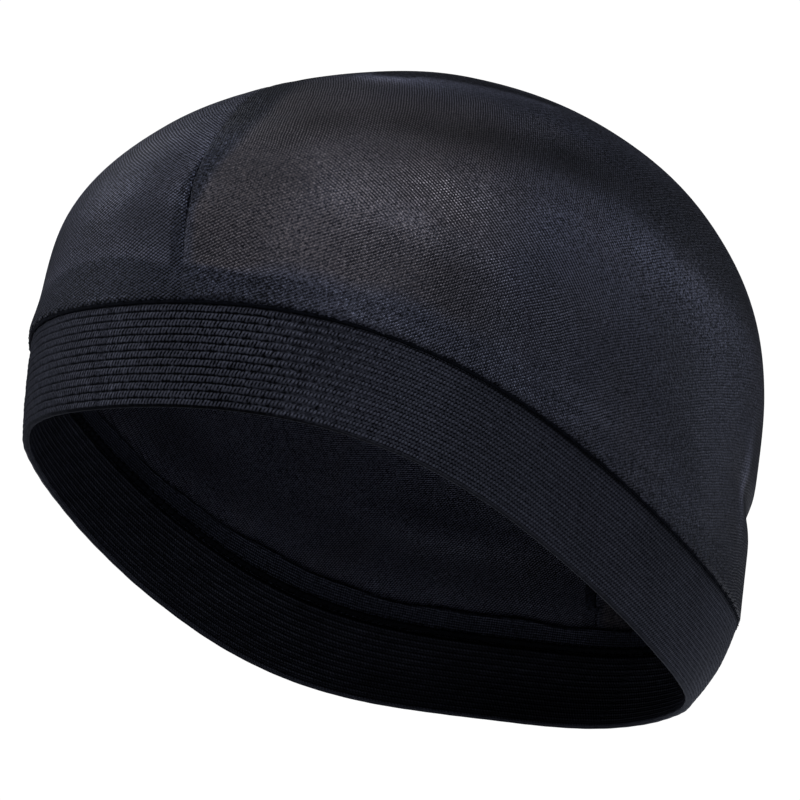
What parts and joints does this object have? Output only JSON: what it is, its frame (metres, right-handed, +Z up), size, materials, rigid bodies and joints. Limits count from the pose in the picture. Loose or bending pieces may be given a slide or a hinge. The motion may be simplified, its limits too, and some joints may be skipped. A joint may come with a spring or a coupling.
{
  "type": "wig cap",
  "caption": "Stretch dome wig cap: a satin knit crown with an off-centre seam on a wide ribbed elastic band, held in its worn form.",
  "frame": {"origin": "centre of the rim's opening, where the cap sits on a head", "axes": "+Z up as worn, -Y towards the forehead, +X towards the near side in the picture"},
  "size_m": [0.1576, 0.2134, 0.1663],
  "materials": {
    "crown_knit": "satin stretch knit, black, slightly sheer",
    "doubled_knit": "satin stretch knit, doubled, black",
    "seam_thread": "matte overlocked thread, black",
    "elastic": "matte ribbed knitted elastic, black"
  },
  "bodies": {
    "root": {"crown_panel_left": "crown_knit", "crown_panel_right": "crown_knit", "crown_seam": "doubled_knit", "crown_hem": "doubled_knit", "band_seam": "seam_thread", "elastic_band": "elastic"}
  },
  "joints": []
}
